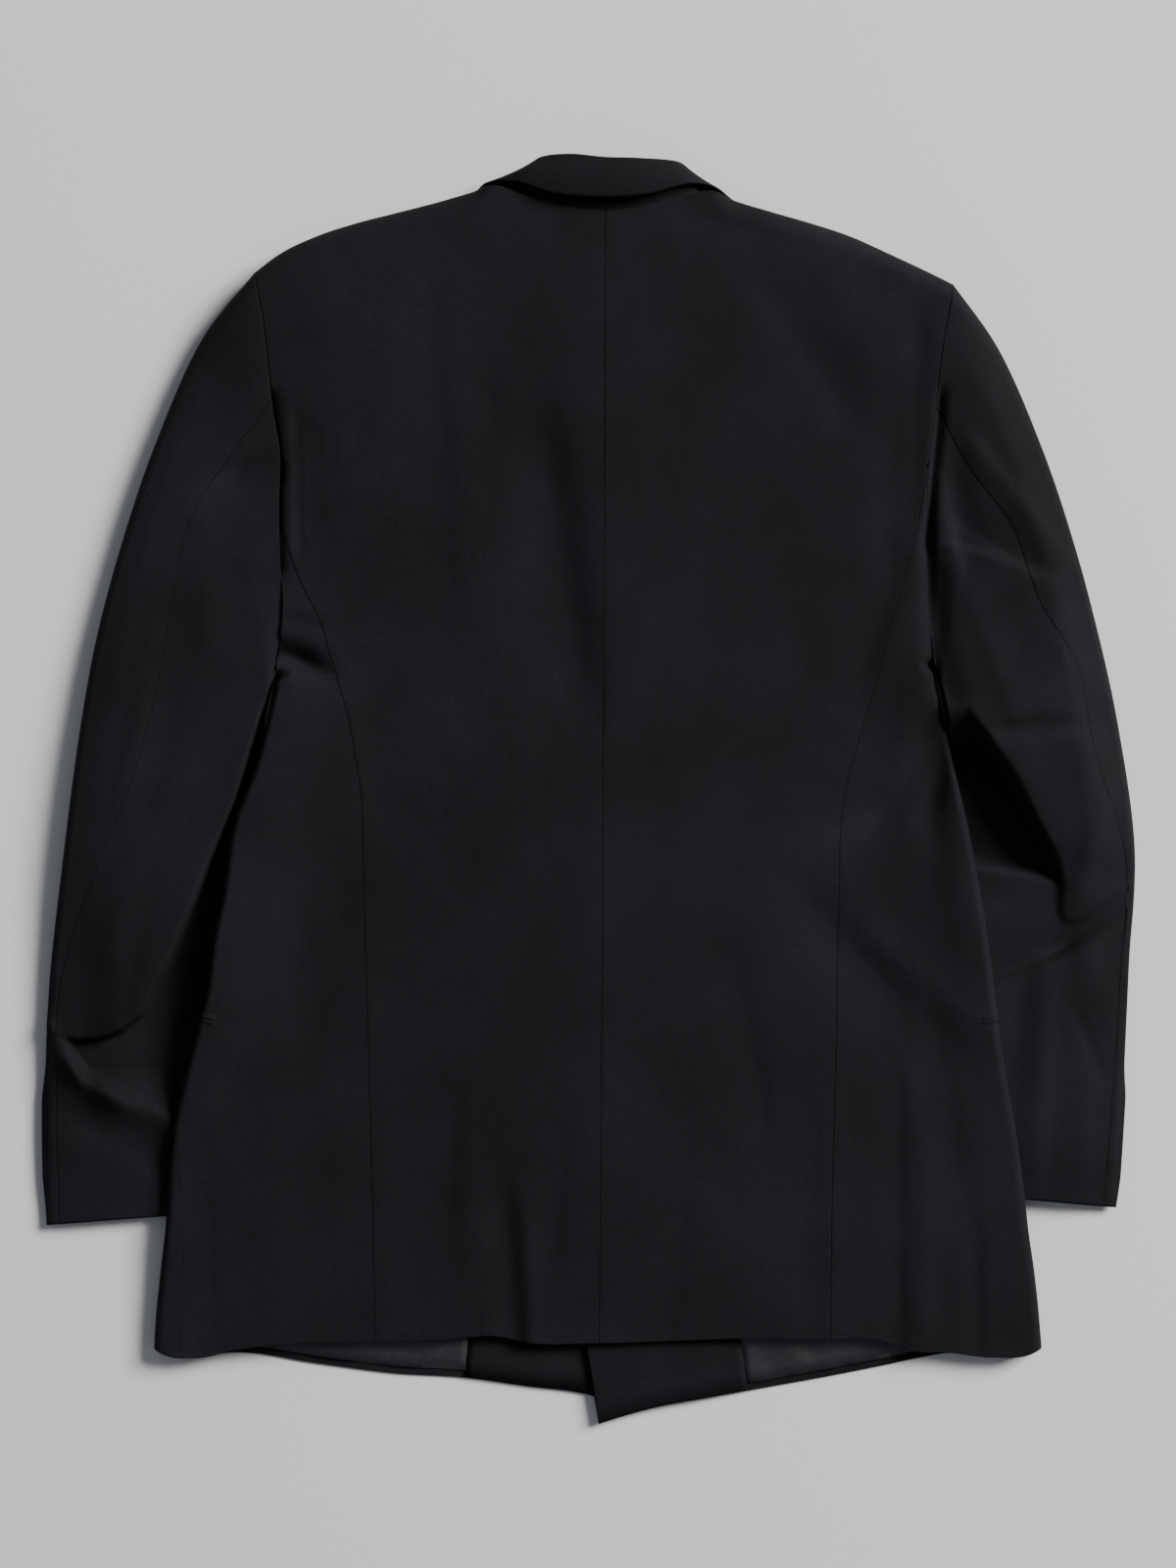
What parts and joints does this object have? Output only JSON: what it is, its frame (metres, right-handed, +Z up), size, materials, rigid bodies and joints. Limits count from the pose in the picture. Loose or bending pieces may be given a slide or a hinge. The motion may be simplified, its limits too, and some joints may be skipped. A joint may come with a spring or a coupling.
{
  "type": "double-breasted tuxedo jacket",
  "caption": "Black wool double-breasted tuxedo jacket laid flat with its back up, with turned-down collar, set-in sleeves, satin lapels and jetted pockets.",
  "frame": {"origin": "on the surface the jacket lies on, under the middle of its bounding box", "axes": "+Y along the back from the hem to the collar, +X to the wearer's right (the right sleeve), +Z up out of the back"},
  "size_m": [0.7443, 0.8636, 0.0393],
  "materials": {
    "wool": "black worsted wool, matt",
    "satin": "black satin facing, smooth sheen",
    "lining": "black lining satin, soft sheen",
    "button": "polished black"
  },
  "bodies": {
    "root": {"back_left": "wool", "side_left": "wool", "front_left": "wool", "facing_left": "wool", "lining_left": "lining", "lapel_left": "satin", "pocket_jets_left": "wool", "under_sleeve_left": "wool", "top_sleeve_left": "wool", "cuff_button_left_1": "button", "cuff_button_left_2": "button", "cuff_button_left_3": "button", "back_right": "wool", "side_right": "wool", "front_right": "wool", "facing_right": "wool", "lining_right": "lining", "lapel_right": "satin", "pocket_jets_right": "wool", "under_sleeve_right": "wool", "top_sleeve_right": "wool", "cuff_button_right_1": "button", "cuff_button_right_2": "button", "cuff_button_right_3": "button", "collar_fall": "wool", "collar_stand": "wool", "front_button_1": "button", "front_button_2": "button", "front_button_3": "button", "front_button_4": "button"}
  },
  "joints": []
}
